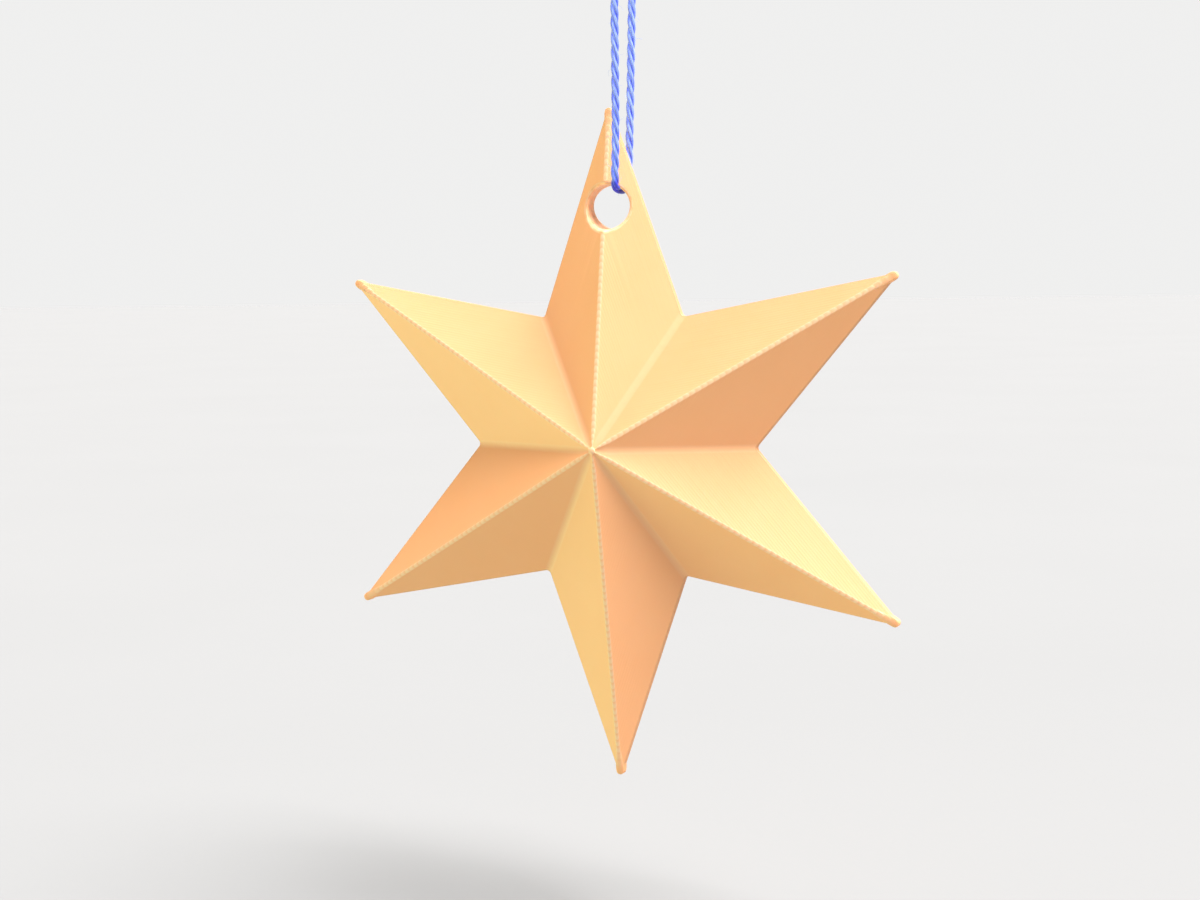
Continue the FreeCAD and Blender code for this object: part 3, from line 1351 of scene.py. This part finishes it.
        faded = nodes.math("DIVIDE", face_layer, grown.input("Finger Fade"))
        fingered = nodes.math("MAXIMUM", nodes.math("SUBTRACT", 1.0, faded), 0.0)
        rounding = nodes.feed_all(nodes.add("ShaderNodeMix", data_type="VECTOR"), {
            0: fingered,
            4: self.sampled(grown, "offset", turn),
            5: self.sampled(grown, "finger", turn),
        })
        shrunk = nodes.scaled(self.sampled(grown, "corner", turn), share)
        rounded = nodes.vector("ADD", shrunk, nodes.scaled(rounding.outputs[1], held))
        outward = self.sampled(grown, "outward", turn)
        drawn_in = nodes.scaled(outward, nodes.math("MULTIPLY", inset, held))
        plane = nodes.add("ShaderNodeSeparateXYZ", nodes.vector("SUBTRACT", rounded, drawn_in))
        deep = nodes.math("MULTIPLY", side, depth)
        place = nodes.out("ShaderNodeCombineXYZ", plane.outputs["X"], deep, plane.outputs["Y"])

        last = nodes.math("MULTIPLY_ADD", grown.input("Rim Layers"), steps, 0.5)
        on_edge = nodes.math("LESS_THAN", level, last)
        # Masks that place the plastic's painted highlights (ridges, valleys) and painted shade (ridge
        # grooves, rim band).
        masks = {
            "ridge": (on_ridge, nodes.math("SUBTRACT", 1.0, fingered)),
            "groove": (groove, on_face),
            "rim": (on_edge, nodes.math("SUBTRACT", 1.0, on_ridge)),
            "valley": (self.sampled(grown, "in_valley", turn, "FLOAT"), on_face),
        }
        body = grid
        for name, factors in masks.items():
            body = nodes.store(body, name, nodes.math("MULTIPLY", *factors))
        body = nodes.out("GeometryNodeSetPosition", body, None, place)
        return nodes.out("GeometryNodeMergeByDistance", body, None, WELD)

    def hole_cutter(self, grown: GrownMesh) -> bpy.types.NodeSocket:
        """Build the rod that cuts the twine's hole, flared where it meets each face.

        Args:
            grown: The mesh that is grown, with its tree.

        Returns:
            The closed rod.
        """
        nodes = grown.nodes
        around, wall = float(self.hole_sides), float(self.wall_rings)
        lip = wall + self.lip_rings
        grid, ring, turn = self.ring_grid(nodes, lip + 2, around)
        angle = nodes.math("MULTIPLY", turn, 2 * math.pi / around)
        side = nodes.math("SIGN", ring)
        level = nodes.math("ABSOLUTE", ring)
        front_lip = grown.input("Hole Lip")
        behind = nodes.math("MAXIMUM", side, 0.0)
        less = nodes.math("SUBTRACT", grown.input("Back Lip"), front_lip)
        flare = nodes.math("MULTIPLY_ADD", behind, less, front_lip)
        quarter = nodes.out("ShaderNodeMapRange", level, wall, lip, 0.0, math.pi / 2)
        outside = nodes.math("GREATER_THAN", level, lip + 0.5)
        capped = nodes.math("GREATER_THAN", level, lip + 1.5)
        opened = nodes.math("SUBTRACT", 1.0, nodes.math("COSINE", quarter))
        radius = nodes.math("ADD", grown.input("Hole Radius"), nodes.math("MULTIPLY", opened, flare))
        radius = nodes.math("MULTIPLY", radius, nodes.math("SUBTRACT", 1.0, capped))
        x = nodes.math("MULTIPLY", radius, nodes.math("COSINE", angle))
        z = nodes.math("MULTIPLY_ADD", radius, nodes.math("SINE", angle), grown.input("Hole Height"))
        rim = nodes.math("MULTIPLY", grown.input("Rim Layers"), grown.input("Layer Height"))
        rise = nodes.math("MULTIPLY", grown.input("Face Layers"), grown.input("Layer Height"))
        top = nodes.math("ADD", rim, rise)
        aside = nodes.math("MULTIPLY", nodes.math("ABSOLUTE", x), grown.input("Fall Across"))
        ahead = nodes.math("MULTIPLY", z, grown.input("Fall Along"))
        skin = nodes.math("SUBTRACT", top, nodes.math("ADD", aside, ahead))
        below = nodes.math("SUBTRACT", 1.0, nodes.math("SINE", quarter))
        sunk = nodes.math("SUBTRACT", skin, nodes.math("MULTIPLY", below, flare))
        climb = nodes.math("MINIMUM", nodes.math("DIVIDE", level, wall), 1.0)
        depth = nodes.math("MULTIPLY", sunk, climb)
        beyond = nodes.math("MULTIPLY", outside, nodes.math("SUBTRACT", top, depth))
        depth = nodes.math("ADD", depth, beyond)
        place = nodes.out("ShaderNodeCombineXYZ", x, nodes.math("MULTIPLY", depth, side), z)
        rod = nodes.out("GeometryNodeSetPosition", grid, None, place)
        return nodes.out("GeometryNodeMergeByDistance", rod, None, WELD)

    def buttons(self, grown: GrownMesh) -> bpy.types.NodeSocket:
        """Build the small blob that closes the crown of each face.

        Args:
            grown: The mesh that is grown, with its tree.

        Returns:
            The two blobs.
        """
        nodes = grown.nodes
        layers = nodes.math("ADD", grown.input("Face Layers"), grown.input("Rim Layers"))
        rise = nodes.math("MULTIPLY", layers, grown.input("Layer Height"))
        front = nodes.out("ShaderNodeCombineXYZ", 0.0, nodes.math("MULTIPLY", rise, -1.0), 0.0)
        back = nodes.out("ShaderNodeCombineXYZ", 0.0, rise, 0.0)
        line = nodes.add("GeometryNodeMeshLine", mode="END_POINTS", count_mode="TOTAL")
        nodes.feed_all(line, {"Count": 2, "Start Location": front, "Offset": back})
        blob = nodes.out("GeometryNodeMeshUVSphere", 24, 14, 1.0)
        placed = nodes.add("GeometryNodeInstanceOnPoints", line.outputs[0], None, blob)
        wide = grown.input("Button Radius")
        size = nodes.out("ShaderNodeCombineXYZ", wide, grown.input("Button Height"), wide)
        nodes.feed(placed.inputs["Scale"], size)
        real = nodes.out("GeometryNodeRealizeInstances", placed.outputs[0])
        # The crown blob carries the ridge mask, so the plastic gives it painted highlight.
        return nodes.store(real, "ridge", self.button_highlight_share)

    def build(self, centre: Vector, material: bpy.types.Material) -> bpy.types.Object:
        """Print the star and set it round its centre.

        Args:
            centre: The star's centre in the row frame.
            material: The plastic.

        Returns:
            The finished star.
        """
        outline = self.outline_mesh()
        grown = GrownMesh("layered_star", outline, self.sizes(len(outline.vertices), centre))
        nodes = grown.nodes
        cut = nodes.add("GeometryNodeMeshBoolean", operation="DIFFERENCE", solver="EXACT")
        nodes.tree.links.new(self.layers(grown), cut.inputs[0])
        nodes.tree.links.new(self.hole_cutter(grown), cut.inputs[1])
        whole = nodes.add("GeometryNodeJoinGeometry")
        nodes.tree.links.new(cut.outputs[0], whole.inputs[0])
        nodes.tree.links.new(self.buttons(grown), whole.inputs[0])
        star, middle = whole.outputs[0], grown.input("Centre")
        placed = nodes.out("GeometryNodeSetPosition", star, None, None, middle)
        piece = grown.finish(placed, material)
        piece.data.shade_smooth()
        piece.data.set_sharp_from_angle(angle=math.radians(self.sharp_from))
        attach(piece, BODY)
        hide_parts("star")
        LOG.info("%s: %d faces", piece.name, len(piece.data.polygons))
        return piece


@dataclass(frozen=True)
class SoftLight:
    """A wide far light: its direction round the star's face, and away from straight in front."""

    name: str
    azimuth: float
    tilt: float
    strength: float
    softness: float = 40.0
    colour: Colour = (1.0, 1.0, 1.0)

    def hang(self) -> bpy.types.Object:
        """Put the light in the scene and return it.

        Returns:
            The light.
        """
        around, away = math.radians(self.azimuth), math.radians(self.tilt)
        aside = math.sin(away)
        toward = Vector((aside * math.cos(around), -math.cos(away), aside * math.sin(around)))
        data = bpy.data.lights.new(self.name, "SUN")
        data.energy = self.strength
        data.color = self.colour
        data.angle = math.radians(self.softness)
        light = add_object(self.name, data)
        light.rotation_euler = toward.to_track_quat("Z", "Y").to_euler()
        return light


@dataclass
class Studio:
    """A pale floor under the star, a pale surround, and soft light."""

    floor_gap: float = 30.0 * MM
    floor_size: float = 12.0
    surround: Colour = (0.868, 0.867, 0.862)
    ambient: float = 0.15
    lights: tuple[SoftLight, ...] = (
        SoftLight("key", 60.0, 84.0, 8.4, colour=(1.0, 1.0, 1.08)),
        SoftLight("left fill", 180.0, 82.0, 1.10, colour=(1.0, 0.55, 0.25)),
        SoftLight("low fill", -150.0, 82.0, 1.8, colour=(0.42, 0.97, 0.44)),
    )

    def floor(self, lowest: float, material: bpy.types.Material) -> bpy.types.Object:
        """Lay the floor.

        Args:
            lowest: The height of the object's lowest point.
            material: The floor's material.

        Returns:
            The floor.
        """
        half = self.floor_size / 2
        level = lowest - self.floor_gap
        mesh = bpy.data.meshes.new("studio_floor")
        corners = [(x * half, y * half, level) for x, y in ((-1, -1), (1, -1), (1, 1), (-1, 1))]
        mesh.from_pydata(corners, [], [(0, 1, 2, 3)])
        mesh.materials.append(material)
        floor = add_object("studio_floor", mesh)
        floor.visible_shadow = False
        floor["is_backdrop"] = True
        return floor

    def world(self) -> bpy.types.World:
        """Surround the scene: a pale tone where it is seen, and a calm light elsewhere.

        Returns:
            The world.
        """
        world = bpy.data.worlds.new("studio")
        world.use_nodes = True
        world.node_tree.nodes.clear()
        nodes = NodeTree(world.node_tree)
        path = nodes.add("ShaderNodeLightPath")
        seen = nodes.math("MAXIMUM", path.outputs["Is Camera Ray"], path.outputs["Is Glossy Ray"])
        seen = nodes.math("MAXIMUM", seen, path.outputs["Is Transmission Ray"])
        lit = nodes.out("ShaderNodeBackground", rgba((1.0, 1.0, 1.0)), self.ambient)
        shown = nodes.out("ShaderNodeBackground", rgba(self.surround), 1.0)
        mixed = nodes.out("ShaderNodeMixShader", seen, lit, shown)
        nodes.add("ShaderNodeOutputWorld", mixed)
        bpy.context.scene.world = world
        return world

    def build(self, lowest: float, paper: bpy.types.Material) -> None:
        """Set up the floor, the lights and the surround.

        Args:
            lowest: The height of the object's lowest point.
            paper: The floor's material.
        """
        self.floor(lowest, paper)
        for light in self.lights:
            light.hang()
        self.world()
        bpy.context.scene.view_settings.view_transform = "Standard"


def main() -> None:
    """Build the camera and the twine, then the star and the studio, and log each piece."""
    logging.basicConfig(level=logging.INFO, format="%(message)s")
    cad_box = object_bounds()
    centre = piece_centre("star")
    StudioCamera().build(centre)
    effects = SharedEffects()
    twine = PliedTwine().material(effects)
    maker = TwineMaker()
    loop = HangingTwine(maker)
    strands, line = loop.build(twine)
    knot = TwineKnot(maker).build(twine)
    PrintedStar().build(centre, PrintedPlastic().material(effects))
    Studio().build(cad_box[0].z, StudioPaper().material(effects))


if __name__ == "__main__":
    main()
